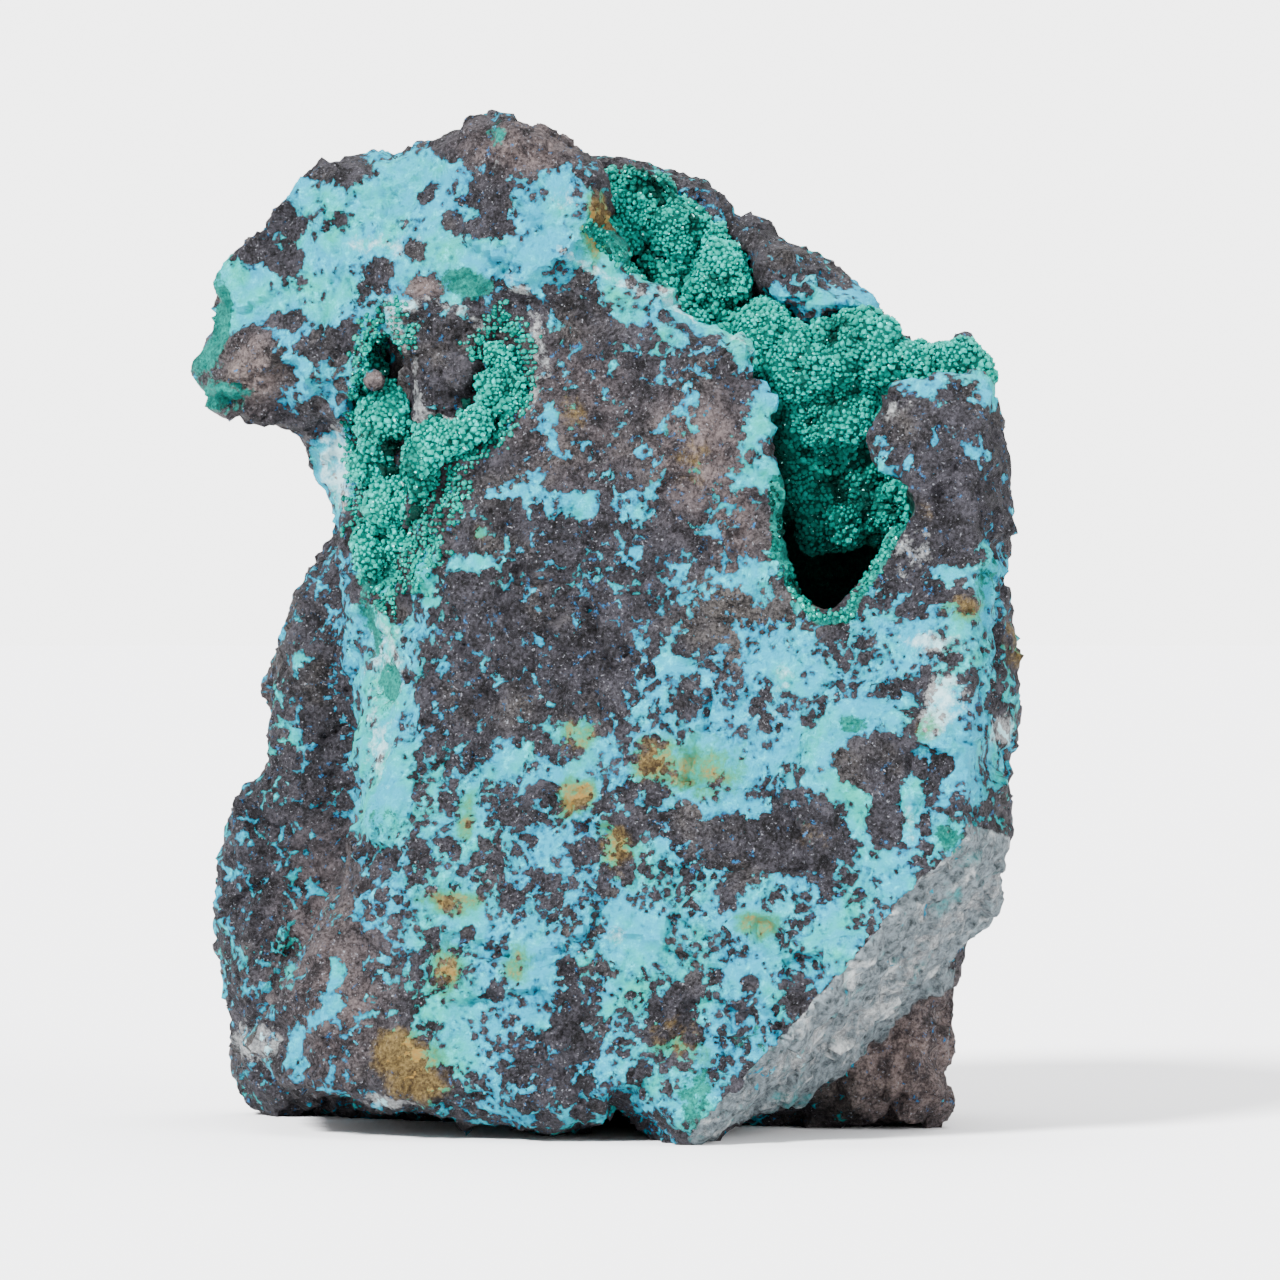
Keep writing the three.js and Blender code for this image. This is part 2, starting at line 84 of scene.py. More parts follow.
# Marks on the rock as it is seen from the front: x, z, reach along x, reach along z, and how strong.
# Turquoise covers most of a place marked 0.8, about half of one marked 0.5, and specks of one marked 0.25.
TURQUOISE = [
    # the upper left block
    (-14, 44.6, 4, 2.4, 0.34), (-9.6, 47.4, 3.2, 1.1, 0.45), (-13.4, 46, 2.6, 1.2, 0.3),
    (-17.6, 41.8, 1.5, 1.6, 0.3), (-12, 40, 3, 2, 0.1), (-13.6, 41.9, 5.6, 3.8, 0.3),
    (-8.6, 45.4, 5.2, 2.8, 0.32), (-15, 37.6, 2.4, 1.9, 0.38), (-2.2, 45.2, 2, 2.4, 0.55),
    (-3.8, 43, 2, 1.2, 0.51), (-17.6, 40.6, 1.8, 2.4, 0.47), (-7, 42.6, 2.6, 1.4, 0.3),
    (-5.1, 48.9, 0.8, 0.8, 0.62), (-4.6, 48.5, 3.4, 1.1, -0.6), (-5.6, 46.1, 0.8, 0.8, -1.4),
    (-5.7, 44.4, 1.2, 0.6, -0.9), (-9.2, 43.4, 0.6, 0.5, -0.9), (-10.9, 42.4, 0.7, 0.7, -0.9),
    (-13, 45, 1.4, 1, -0.8), (-17.1, 43.4, 0.8, 0.8, -1), (-15.5, 43, 0.8, 0.7, -1),
    (-15.5, 44.9, 1, 0.8, -0.8), (-12.5, 47, 1.4, 0.9, -0.9), (-17.1, 37.6, 1.3, 2.1, -1.2),
    (-15.3, 40, 0.9, 0.4, -1), (-14.1, 38.6, 0.6, 0.6, -0.9), (-12.9, 38.9, 0.5, 0.6, -0.9),
    (-13.8, 35.2, 0.9, 0.8, -1), (-7.5, 44.9, 0.4, 0.4, -0.9), (-8.7, 46.4, 0.5, 0.6, -0.9),
    (-8.7, 41.6, 0.9, 0.4, -0.9), (-8, 38, 1.2, 1.5, -0.9),
    # the upper half of the front
    (-1.2, 31, 2.2, 0.6, 0.5), (-4.4, 31.7, 2.2, 0.4, 0.42), (-3.4, 32.6, 0.6, 0.8, 0.35),
    (-2.5, 34.4, 0.4, 0.9, 0.36), (0.7, 28.4, 1.4, 0.4, 0.3), (-8.5, 27.4, 0.5, 1.3, 0.45),
    (-6.4, 28.2, 1.4, 0.4, 0.38), (6.8, 32.6, 1, 0.9, 0.4), (7.9, 32.5, 0.6, 0.9, 0.45),
    (4.1, 35.6, 0.8, 0.9, 0.42), (1.2, 40.2, 0.8, 0.4, 0.42), (3.4, 39.1, 0.8, 0.6, 0.42),
    (1.7, 28.9, 0.4, 1.3, 0.38), (4.5, 27.6, 2, 1.2, 0.3), (7.3, 27.3, 1, 1, 0.42),
    (1.6, 30.6, 0.9, 0.8, 0.38),
    # the lower half of the front, where it runs into a net round dark islands
    (8, 21.5, 7.5, 3.6, 0.2), (15.5, 20.5, 4, 5.5, 0.22), (4.5, 10, 9, 8, 0.24),
    (-5.5, 8, 4.5, 8.5, 0.24), (14.5, 3.5, 3.2, 3.6, -0.4), (-17.5, 14, 3.5, 11, 0.12),
    (4, 3.6, 6, 2.4, 0.12), (15.8, 24.8, 3.4, 1.3, 0.31), (8.7, 24, 1.6, 2, 0.25),
    (3.2, 23.4, 0.8, 1.4, 0.25), (5.6, 18, 3.3, 2.5, 0.28), (-1, 18, 1.8, 2.8, 0.25),
    (17.6, 18.6, 2, 1.9, 0.28), (16.7, 15, 1.2, 1.2, 0.31), (14.8, 12.1, 1.4, 1.4, 0.31),
    (1.4, 10, 2.2, 2.4, 0.28), (7.5, 10.6, 2, 1.5, 0.22), (11.3, 10.2, 1.4, 3, 0.31),
    (7, 7.8, 1.2, 1.2, 0.28), (7.1, 4.9, 1.5, 1, 0.19), (4.4, 1.8, 1, 1.4, 0.31),
    (-4.4, 18.6, 1.1, 0.7, 0.5), (-3.4, 23.1, 0.6, 0.6, 0.31), (-6.6, 16.7, 1, 2, 0.28),
    (-8, 13.6, 0.7, 1.1, 0.28), (-7.3, 11, 1.8, 1.7, 0.28), (-7.3, 6.6, 1.3, 1.4, 0.25),
    (-3.9, 8.5, 1.2, 1.9, 0.25), (13.3, 18.7, 1.9, 1.6, -0.7), (13.3, 15.3, 0.9, 1.3, -0.8),
    (10, 14.8, 1.8, 1.5, -0.4), (7.7, 14.5, 2, 1.3, -0.6), (4.9, 15.4, 1.4, 0.8, -0.4),
    (3.4, 5.8, 1.2, 1.6, -0.3), (-2, 5.4, 2.6, 2.6, -0.3), (-0.9, 23.6, 2.4, 2.4, -0.3),
    (9.8, 5.9, 1.2, 1.6, -0.3), (16.4, 18.4, 0.5, 0.5, -1.2), (-8.3, 10.2, 0.3, 0.3, -1.6),
    (-6.6, 10.3, 0.3, 0.3, -1.6), (7, 7.9, 0.4, 0.4, -1.2),
    # the strip of pale crust down the left edge of the front
    (-10.9, 26, 1.8, 1.8, 0.42), (-10.9, 22.6, 1.7, 2.6, 0.44), (-10.4, 18.8, 1.6, 2.4, 0.5),
    (-10.7, 15.8, 1.2, 1.4, 0.6), (-11.4, 26.7, 0.5, 0.5, -1.2), (-10.2, 26.2, 0.5, 0.5, -1.2),
    (-13.2, 33.2, 1, 3, 0.68), (-11.2, 11.4, 1.6, 0.8, 0.3), (-7.2, 4.3, 1.2, 0.8, 0.42),
    # the pillar right of the vug, and the ridge behind it
    (15.8, 36.4, 1, 0.5, 0.3), (14.7, 37, 1.2, 0.6, 0.25), (17.7, 37, 1.6, 0.6, 0.2),
    (17.8, 33.4, 0.5, 0.8, 0.45), (15.6, 31.4, 2.6, 4, -0.3), (15.9, 34.2, 0.3, 0.8, 0.5),
    (13.6, 33, 0.4, 1.6, 0.5), (14.8, 33.3, 0.3, 0.8, 0.5), (16.4, 27.8, 1.1, 0.4, 0.5),
    (18.4, 27.4, 0.7, 1.8, 0.72), (12.1, 41, 2.2, 0.9, 0.6), (9.3, 41.2, 1.6, 0.8, 0.4),
    (6.3, 45.8, 0.6, 0.9, 0.54),
]
GREEN = [
    (-6.8, 41.8, 1.5, 0.9, 1), (-19, 40.5, 1.1, 2, 0.9), (-20, 38.3, 1.3, 1.1, 1),
    (-18.9, 36.4, 2, 0.7, 0.8), (-10.9, 28, 1.1, 1.4, 0.9), (-10.6, 22.4, 0.6, 1.6, 0.9),
    (-11.4, 25, 0.4, 1.6, 0.9), (-10.7, 15.6, 1.2, 1.2, 0.5), (16.7, 15, 1.1, 1.1, 0.7),
    (18.4, 27.4, 0.6, 1.6, 0.7), (5, 18.6, 2.4, 1.6, 0.3), (7.1, 5, 1.5, 1, 0.5),
    (4.4, 2.4, 1.1, 1.8, 0.7), (12, 20.4, 1.4, 0.6, 0.7), (10, 14.8, 1.6, 1.3, 0.35),
    (-7.5, 11.4, 1.5, 1.3, 0.35), (-5.1, 48.9, 0.8, 0.8, 0.6),
]
OCHRE = [
    (-0.4, 44.6, 0.7, 1.8, 1), (-1.4, 16.9, 1.2, 1, 0.9), (-1.3, 19.8, 1.2, 1.2, 0.6),
    (4.6, 18.3, 2.4, 1.7, 0.6), (-7.4, 11.8, 1.5, 0.7, 0.8), (-7.7, 8.6, 0.8, 1.4, 0.8),
    (-9.9, 4.4, 1.9, 1.5, 0.9), (-8.6, 2.8, 1.8, 0.8, 0.7), (0.6, 14.4, 1, 1.4, 0.8),
    (7.4, 10.6, 1.2, 0.9, 0.7), (4.3, 33.2, 1.9, 1.8, 0.5), (-1.5, 35.6, 1, 1.2, 0.6),
    (17.4, 26, 1.2, 0.8, 0.7), (15.5, 30.6, 0.8, 0.9, 0.5), (3.4, 5.2, 1.6, 1.4, 0.55),
    (-4.2, 8.6, 0.8, 1.2, 0.6), (-6.7, 15.9, 0.6, 1.4, 0.7), (2.2, 18.6, 1, 1.6, 0.5),
    (10, 14.8, 1.4, 1.2, 0.45), (15.6, 20.4, 1, 0.8, 0.5), (-5.9, 29.6, 0.7, 0.8, 0.5),
    (-15.4, 7.4, 1.2, 2, 0.3), (20, 24.4, 0.8, 2, 0.6),
]
WHITE = [
    (16.4, 21.8, 1.5, 1.5, 0.7), (15.8, 20.4, 0.9, 0.8, 0.6), (19.3, 20.1, 0.6, 1.1, 0.9),
    (-17, 5, 1.3, 1.2, 0.9), (-10.6, 2.2, 2, 0.4, 0.9), (15.8, 24.4, 1.6, 0.7, 0.8),
    (-8.1, 37.8, 0.5, 0.5, 0.4), (-9.3, 39.8, 0.6, 1, 0.3), (-7.8, 34.6, 1.2, 1, 0.45),
    (-13.1, 32.8, 1, 3, 0.8), (-10.7, 23.6, 1.4, 3, 0.6), (-11, 18.7, 0.8, 2, 0.6),
    (14.8, 28.8, 1.6, 1.6, 0.6), (14.1, 35.6, 1, 0.8, 0.6), (-11, 43.6, 2.6, 0.9, 0.5),
    (19.4, 32.8, 0.4, 6, 0.5), (0.5, 10.2, 0.9, 0.7, 0.6), (8.7, 22.8, 0.8, 1, 0.5),
    (7.4, 21, 1.8, 1, 0.4), (-2.2, 46, 1, 1, 0.5), (14.7, 15.6, 0.4, 2, 0.6), (16, 37.4, 2.4, 0.5, 0.5),
    (0, 33, 1.6, 1.4, 0.3), (-5.6, 47.4, 1.4, 0.5, 0.4),
]
BROWN = [
    (4.6, 33.6, 2.4, 3, 0.6), (-1.6, 35.6, 3, 3.4, 0.3), (6.4, 29.6, 1.4, 2, 0.4),
    (14.5, 4.5, 3.4, 4.4, 1), (-4, 48.3, 2.8, 1.2, 0.7), (-13.5, 9, 2.4, 6, 0.35),
    (-17.1, 37.6, 1.4, 2, 0.7), (-8.7, 41.6, 0.9, 0.5, 0.8), (-12.5, 6.5, 2, 3, 0.2),
]

# Thin lines of crust on the rock: each one's width, and the points that it runs through.
TURQUOISE_LINES = [
    (0.75, [(-1, 43.4), (0.7, 41.9), (3.4, 40.9), (5.6, 39.9), (7, 38.4), (8.3, 36.8), (7.6, 35),
            (7.2, 34.2)]),
    (0.9, [(13.4, 20.9), (11.2, 20.2), (10.5, 18.9), (11.2, 17.3), (12.6, 16.2), (13, 14.6), (14.2, 13.2)]),
    (0.5, [(14.8, 17.6), (14.9, 15.6), (14.5, 13.2)]),
    (0.3, [(-13.2, 9), (-13.3, 7.8), (-13.1, 6.8), (-14.8, 5.3), (-15.3, 4.1)]),
    (0.3, [(-3.6, 17.8), (-1.9, 18), (-0.5, 18.8)]),
    (0.6, [(13.4, 36.4), (14, 37.6), (16, 38.1), (18.4, 37.6), (19.2, 36)]),
]
WHITE_LINES = [
    (0.5, [(-4.8, 42.2), (-3.6, 41), (-3.3, 39.2), (-3, 37.6), (-3.9, 35.6)]),
    (0.5, [(-10.4, 40.9), (-9.9, 38.8), (-9.5, 36.8), (-8.8, 35.3), (-7.4, 34.8), (-6.4, 35.4)]),
    (0.4, [(-10.2, 40.6), (-8.6, 41), (-6.8, 40.4), (-5.7, 39.2)]),
    (0.3, [(-2.4, 43.6), (-0.6, 42.4), (1.6, 41.4), (4.4, 40.6), (6.4, 39.4), (7.8, 37.6)]),
    (0.8, [(8.5, 3.6), (13.3, 6.7), (16.6, 10.5), (19.6, 13.6)]),
]

# Where small crystals grow on the rock round the hollows: lines round the vug's mouth and the pocket,
# and patches beside the groove.
VUG_RIM = [
    (0.3, [(8.2, 32.3), (8.3, 28.6), (9.6, 26.4), (10.3, 25.5), (11.6, 25.6), (13.3, 28.2), (14.4, 30.4)]),
    (0.4, [(-0.6, 44.4), (0.9, 42.8), (3.6, 41.9), (6.2, 40.6)]),
]
FLANK_RIM = [
    (0.8, [(-11.2, 39.6), (-11.6, 37), (-11.9, 34), (-11.9, 31), (-11.4, 28.4), (-10.6, 26.6)]),
    (1.1, [(-8.4, 33.6), (-7.6, 32), (-8.6, 29.8), (-9.6, 27.8)]),
    (0.6, [(-6.4, 38.6), (-5, 40.2), (-3.9, 39), (-3.8, 36.6), (-5.2, 34.4), (-7.4, 33)]),
    (0.7, [(-10, 40.6), (-9.6, 39.2)]),
]
RIM_SHARE = 0.85

# Where the crystals stand in deep shadow, as marks.
SHADE = [
    (8.2, 33, 0.9, 3.4, 1), (12.7, 31.2, 0.6, 1.6, 0.8), (8.8, 30, 1.2, 1, 0.8),
    (-1.6, 43.6, 0.6, 1, 0.7), (0.2, 43.2, 0.8, 0.6, 0.6), (-10.6, 36.6, 0.6, 0.9, 0.6),
    (-9.4, 33.2, 0.5, 1.2, 0.7), (11.8, 37, 0.7, 0.5, 0.5),
]

# The vug, as a mark, the depth of its back, and that of the slab's front round it.
VUG_REACH = (11.5, 32, 6, 8.5, 1)
VUG_BACK = 13.5


def slab_front(x, z):
    """How deep the slab's front lies at x and z, as outlines give it."""
    return -7.5 - 0.25 * x + 0.22 * z


# The fresh break at the lower right: a point on it, as outlines give one, the way it faces, and the ends
# of the line that it ends at below, as x and z.
BREAK_POINT = (13, -8.6, 9.8)
BREAK_FACING = (0.685, -0.38, -0.622)
BREAK_ENDS = ((8.5, 1), (16.8, 8))


def in_space(x, y, z):
    """The place, in the rock's own frame, of what is seen at x and z and lies at depth y."""
    spread = (VIEW_DISTANCE + y) / VIEW_DISTANCE
    return np.array([VIEW_X + (x - VIEW_X) * spread, y, VIEW_Z + (z - VIEW_Z) * spread]) + SHIFT


def as_seen(points):
    """Where points are seen from the front, as x and z."""
    x, y, z = (points - SHIFT).T
    spread = (VIEW_DISTANCE + y) / VIEW_DISTANCE
    return VIEW_X + (x - VIEW_X) / spread, VIEW_Z + (z - VIEW_Z) / spread


def smoothstep(value, low, high):
    t = np.clip((value - low) / (high - low), 0, 1)
    return t * t * (3 - 2 * t)


def painted(x, z, marks):
    """How strong all the marks together are at x and z."""
    total = np.zeros_like(x)
    for mark_x, mark_z, reach_x, reach_z, strength in marks:
        square = ((x - mark_x) / reach_x) ** 2 + ((z - mark_z) / reach_z) ** 2
        total += strength * np.exp(-(square**1.3))
    return total


def lined(x, z, lines):
    """1 along lines, fading to 0 at their edges."""
    cover = np.zeros_like(x)
    for width, points in lines:
        nearest = np.full_like(x, np.inf)
        for (x1, z1), (x2, z2) in zip(points, points[1:]):
            length = (x2 - x1) ** 2 + (z2 - z1) ** 2
            share = np.clip(((x - x1) * (x2 - x1) + (z - z1) * (z2 - z1)) / length, 0, 1)
            nearest = np.minimum(nearest, np.hypot(x - x1 - share * (x2 - x1), z - z1 - share * (z2 - z1)))
        cover = np.maximum(cover, np.exp(-((nearest / width) ** 4)))
    return cover


# Meshes


def points_of(mesh):
    flat = np.empty(3 * len(mesh.vertices))
    mesh.vertices.foreach_get("co", flat)
    return flat.reshape(-1, 3) / MM


def normals_of(mesh):
    flat = np.empty(3 * len(mesh.vertices))
    mesh.vertices.foreach_get("normal", flat)
    return flat.reshape(-1, 3)


def unit(vectors):
    return vectors / np.linalg.norm(vectors, axis=1, keepdims=True)


def set_points(mesh, points):
    mesh.vertices.foreach_set("co", (points * MM).ravel())
    mesh.update()


def set_attribute(mesh, name, values):
    mesh.attributes.new(name, "FLOAT", "POINT").data.foreach_set("value", values)


def remeshed(node, name, voxel):
    """A new object with a fine, even mesh of a node's shape."""
    piece = bpy.data.objects.new(name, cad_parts[node].data.copy())
    bpy.context.scene.collection.objects.link(piece)
    remesh = piece.modifiers.new("even", "REMESH")
    remesh.mode = "VOXEL"
    remesh.voxel_size = voxel * MM
    smooth = piece.modifiers.new("soft", "SMOOTH")
    smooth.iterations = SMOOTHING_STEPS
    made = bpy.data.meshes.new_from_object(piece.evaluated_get(bpy.context.evaluated_depsgraph_get()))
    piece.modifiers.clear()
    made.materials.clear()
    piece.data = made
    made.shade_smooth()
    return piece


def refine_front(mesh):
    """Halves the edges of the faces that can be seen from the front."""
    made = bmesh.new()
    made.from_mesh(mesh)
    edges = {edge for face in made.faces if face.normal.y < SIDEWAYS for edge in face.edges}
    bmesh.ops.subdivide_edges(made, edges=list(edges), cuts=1, use_grid_fill=True)
    made.to_mesh(mesh)
    made.free()


def waves(points, size, seed):
    """Smooth noise between -1 and 1 with bumps of that size."""
    offset = Vector((seed * 7.3, seed * 3.1, seed * 5.7))
    return np.array([noise.noise(Vector(point) / size + offset) for point in points])


def chips(points, size, seed):
    """Flat facets side by side, each tilted its own way and set off from the next, between -1 and 1."""
    offset = Vector((seed * 6.1, seed * 1.7, seed * 8.3))
    noise.seed_set(CHIP_SEED)
    values = []
    for point in points:
        place = Vector(point) / size + offset
        centre = noise.voronoi(place)[1][0]
        tilt = noise.noise_vector(centre * 5.3)
        values.append(tilt.dot(place - centre) + 0.5 * noise.noise(centre * 3.7))
    return np.array(values)


def balls(points, size, seed):
    """Round caps side by side, 1 at their tops and 0 where they meet."""
    offset = Vector((seed * 4.1, seed * 9.7, seed * 2.3))
    nearest = np.array([noise.voronoi(Vector(point) / size + offset)[0][0] for point in points])
    return np.sqrt(np.clip(1 - (nearest / 0.85) ** 2, 0, 1))


# Materials


class Shader:
    """A node material. Inputs are numbers, colours or the sockets of earlier nodes."""

    def __init__(self, name):
        self.material = bpy.data.materials.new(name)
        self.material.use_nodes = True
        self.tree = self.material.node_tree
        self.surface = self.tree.nodes["Principled BSDF"]
        place = self.add("ShaderNodeTexCoord").outputs["Object"]
        scaled = self.add("ShaderNodeVectorMath", {0: place, "Scale": 1 / MM}, operation="SCALE")
        self.place = scaled.outputs[0]

    def add(self, kind, inputs=None, **settings):
        node = self.tree.nodes.new(kind)
        for setting, value in settings.items():
            setattr(node, setting, value)
        for socket, value in (inputs or {}).items():
            self.put(node.inputs[socket], value)
        return node

    def put(self, socket, value):
        if isinstance(value, bpy.types.NodeSocket):
            self.tree.links.new(value, socket)
        else:
            socket.default_value = value

    def attribute(self, name):
        return self.add("ShaderNodeAttribute", attribute_name=name).outputs["Fac"]

    def math(self, operation, *values):
        return self.add("ShaderNodeMath", dict(enumerate(values)), operation=operation).outputs[0]

    def noise(self, size, detail, roughness, seed):
        """Noise about 0, mostly between -1 and 1."""
        apart = {0: self.place, 1: (seed, 2 * seed, 3 * seed)}
        place = self.add("ShaderNodeVectorMath", apart).outputs[0]
        inputs = {"Vector": place, "Scale": 1 / size, "Detail": detail, "Roughness": roughness}
        value = self.add("ShaderNodeTexNoise", inputs).outputs["Fac"]
        return self.math("MULTIPLY_ADD", value, 4, -2)

    def cells(self, size):
        """How far it is to the nearest of points about that far apart, in that size, on wavering ground."""
        waving = {"Vector": self.place, "Scale": 1.2 / size, "Detail": 4}
        waver = self.add("ShaderNodeTexNoise", waving).outputs["Color"]
        inputs = {0: waver, 1: (0.9 * size,) * 3, 2: self.place}
        place = self.add("ShaderNodeVectorMath", inputs, operation="MULTIPLY_ADD").outputs[0]
        return self.add("ShaderNodeTexVoronoi", {"Vector": place, "Scale": 1 / size}).outputs["Distance"]

    def step(self, value, low, high):
        inputs = {"Value": value, "From Min": low, "From Max": high}
        return self.add("ShaderNodeMapRange", inputs, interpolation_type="SMOOTHSTEP").outputs[0]

    def mix(self, share, first, second):
        inputs = {0: share, 6: self.colour(first), 7: self.colour(second)}
        return self.add("ShaderNodeMix", inputs, data_type="RGBA").outputs[2]

    def colour(self, value):
        return value if isinstance(value, bpy.types.NodeSocket) else linear(value)

    def bump(self, height, distance, strength, normal=None):
        inputs = {"Height": height, "Distance": distance * MM, "Strength": strength}
        if normal:
            inputs["Normal"] = normal
        return self.add("ShaderNodeBump", inputs).outputs[0]


def linear(code):
    """The colour of a six-figure code such as 3f8a9c, as Blender takes it."""
    parts = [int(code[i : i + 2], 16) / 255 for i in (0, 2, 4)]
    return (*[part / 12.92 if part <= 0.04045 else ((part + 0.055) / 1.055) ** 2.4 for part in parts], 1)


def rock_material():
    shader = Shader("rock")
    # dark rock, brown in places, with blue specks and pale grit
    grit = shader.noise(0.17, 5, 0.74, 3)
    mottle = shader.noise(1.3, 9, 0.74, 5)
    patches = shader.noise(5, 5, 0.6, 6)
    tone = shader.math("MULTIPLY_ADD", grit, 0.8, shader.math("MULTIPLY", mottle, 0.6))
    lightness = shader.step(tone, -0.6, 1.1)
    rock = shader.mix(lightness, "070607", "4e4c54")
    rock = shader.mix(shader.step(patches, 0, 0.9), rock, shader.mix(lightness, "100e0f", "6e6966"))
    brown = shader.math("MULTIPLY", shader.attribute("brown"), shader.step(mottle, -1, 0.5))
    rock = shader.mix(brown, rock, shader.mix(lightness, "362d2e", "9c8a84"))
    rock = shader.mix(shader.step(shader.noise(0.5, 6, 0.74, 12), 0.48, 0.64), rock, "0f68a0")
    rock = shader.mix(shader.step(shader.noise(0.16, 3, 0.6, 11), 0.5, 0.9), rock, "8c8e96")

    # ochre, the fresh break and white crust
    ochre = shader.math("MULTIPLY_ADD", shader.noise(0.9, 8, 0.74, 7), 0.5, shader.attribute("ochre"))
    rock = shader.mix(shader.step(ochre, 0.45, 0.95), rock, shader.mix(lightness, "2f2313", "8a7548"))

    broken = shader.math("MULTIPLY_ADD", shader.noise(0.9, 7, 0.7, 9), 0.3, shader.attribute("broken"))
    pale_rock = shader.mix(shader.step(shader.noise(0.4, 6, 0.72, 31), -0.8, 0.8), "2b3134", "87949a")
    pale_rock = shader.mix(shader.step(shader.noise(1.8, 7, 0.7, 33), 0.1, 0.9), pale_rock, "dadedd")
    pale_rock = shader.mix(shader.step(shader.noise(2.4, 7, 0.72, 37), 0.1, 0.9), pale_rock, "2f8f92")
    rock = shader.mix(shader.step(broken, 0.42, 0.62), rock, pale_rock)

    white = shader.math("MULTIPLY_ADD", shader.noise(0.7, 8, 0.74, 13), 0.5, shader.attribute("white"))
    rock = shader.mix(shader.step(white, 0.5, 0.8), rock, shader.mix(lightness, "66686c", "c6cac8"))

    # a lace of turquoise, with holes of three sizes in it
    lace = shader.attribute("turquoise")
    for size, share in ((1.8, 0.5), (0.9, 0.55), (0.4, 0.5)):
        lace = shader.math("MULTIPLY_ADD", shader.math("SUBTRACT", shader.cells(size), 0.45), share, lace)
    lace = shader.math("MULTIPLY_ADD", shader.noise(1.2, 9, 0.76, 1), 0.22, lace)
    lace = shader.math("MULTIPLY_ADD", shader.attribute("broken"), -0.3, lace)
    density = shader.math("MULTIPLY_ADD", shader.noise(0.3, 5, 0.7, 2), 0.14, lace)
    coat = shader.step(density, 0.47, 0.52)
    hue = shader.math("MULTIPLY_ADD", shader.noise(6, 2, 0.5, 18), 0.9, shader.noise(1.9, 6, 0.65, 17))
    hue = shader.step(hue, -0.5, 1.1)
    thin = shader.mix(hue, "006e92", "007c78")
    thick = shader.mix(hue, "00a2c2", "00b29e")
    shade = shader.mix(shader.step(density, 0.5, 0.75), thin, thick)
    pale = shader.step(shader.noise(0.5, 8, 0.76, 19), 0, 0.9)
    shade = shader.mix(pale, shade, "30e2ee")
    shade = shader.mix(shader.step(white, 0.4, 0.95), shade, "b9e6ee")
    shade = shader.mix(shader.step(ochre, 0.15, 0.75), shade, "2c8c66")
    gritty_ochre = shader.math("MULTIPLY_ADD", grit, 0.2, ochre)
    shade = shader.mix(shader.step(gritty_ochre, 0.6, 1.1), shade, "8f7038")
    rock = shader.mix(coat, rock, shade)

    # green patches, and the walls of the vug
    green = shader.math("MULTIPLY_ADD", shader.noise(0.8, 8, 0.74, 23), 0.5, shader.attribute("green"))
    moss = shader.step(green, 0.48, 0.66)
    rock = shader.mix(moss, rock, shader.mix(lightness, "004f48", "0c9c8e"))
    rock = shader.mix(shader.attribute("deep"), rock, shader.mix(lightness, "0a4038", "1a8a7c"))
    shader.put(shader.surface.inputs["Base Color"], rock)

    # the lace stands a little above the rock, and both are gritty
    relief = shader.bump(shader.noise(1.1, 9, 0.76, 29), 0.3, 0.6)
    height = shader.math("MULTIPLY_ADD", coat, 0.7, shader.math("MULTIPLY", grit, 0.5))
    shader.put(shader.surface.inputs["Normal"], shader.bump(height, 0.13, 1, relief))
    shader.surface.inputs["Roughness"].default_value = 0.6
    shader.surface.inputs["Specular IOR Level"].default_value = 0.12
    return shader.material


def crystal_material():
    shader = Shader("green_crystals")
    patches = shader.step(shader.noise(2.2, 5, 0.6, 3), -0.9, 0.9)
    # low is the crystals' dark green, used for painted shade and for dark patches; high is their painted
    # lit green
    low = shader.mix(patches, "001f1a", "002e26")
    high = shader.mix(patches, "006c60", "009080")
    # painted shade and light: darker in the crevices and on the undersides of the grains, lighter up top,
    # with a painted highlight of 00a89e on the highest points
    painted_light = shader.attribute("painted_light")
    colour = shader.mix(shader.step(painted_light, 0.1, 0.6), low, high)
    colour = shader.mix(shader.step(painted_light, 0.6, 1), colour, "00a89e")
    colour = shader.mix(shader.step(shader.noise(0.3, 3, 0.6, 8), 0.2, 1), colour, low)
    colour = shader.mix(shader.step(shader.attribute("glint"), 0.65, 0.75), colour, "a0f4ea")
    shader.put(shader.surface.inputs["Normal"], shader.bump(shader.noise(0.12, 3, 0.6, 2), 0.05, 0.8))
    shader.put(shader.surface.inputs["Base Color"], colour)
    shader.surface.inputs["Roughness"].default_value = 0.25
    shader.surface.inputs["Specular IOR Level"].default_value = 0.05
    return shader.material


# The pieces


def rock():
    piece = remeshed("matrix", "rock", ROCK_VOXEL)
    mesh = piece.data
    refine_front(mesh)
    points = points_of(mesh)
    normals = normals_of(mesh)
    moved = sum(height * waves(points, size, i + 1) for i, (size, height) in enumerate(ROCK_WAVES))
    moved += sum(height * chips(points, size, i + 1) for i, (size, height) in enumerate(ROCK_CHIPS))
    shaped = points + normals * moved[:, None]
    shaped[:, 2] = np.maximum(shaped[:, 2], 0)
    set_points(mesh, shaped)
    mesh.set_sharp_from_angle(angle=SHARP_ANGLE)
    mark_stains(mesh, points, normals)
    mark_vug(mesh, points)
    mark_break(mesh, points, normals)
    mesh.materials.append(rock_material())
    return piece


